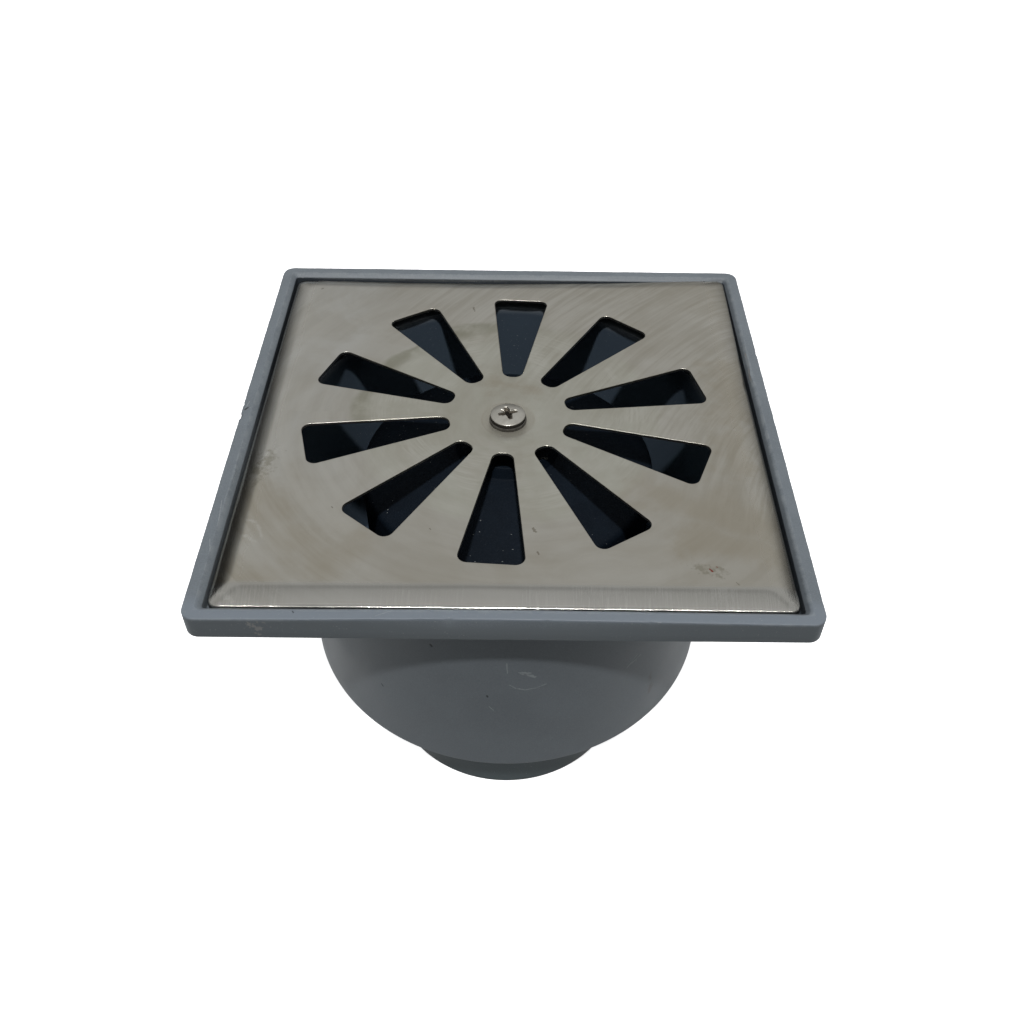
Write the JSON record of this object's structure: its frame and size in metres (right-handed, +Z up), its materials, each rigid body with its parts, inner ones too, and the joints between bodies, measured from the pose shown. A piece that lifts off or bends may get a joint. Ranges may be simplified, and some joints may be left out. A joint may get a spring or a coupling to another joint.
{
  "type": "gully trap",
  "caption": "Square-topped floor gully trap: moulded plastic pot and outlet, a bell that makes the water seal, and a slotted stainless grate held to the bell by a screw.",
  "frame": {"origin": "centre of the outlet's end face, on the pot's axis, at the bottom of the part", "axes": "+Z up along the pot's axis to the grate, -Y to the frame's front side in the picture, +X to its right side"},
  "size_m": [0.15, 0.15, 0.1308],
  "materials": {
    "grey_plastic": "moulded, faintly scuffed",
    "dark_plastic": "moulded, finely speckled",
    "stainless_sheet": "dull mill finish with swirled scratches",
    "fastener_steel": "plated, worn at the cross recess"
  },
  "bodies": {
    "root": {"trap_body": "grey_plastic", "bell_cup": "dark_plastic", "grate": "stainless_sheet", "washer": "fastener_steel", "screw": "fastener_steel"}
  },
  "joints": []
}
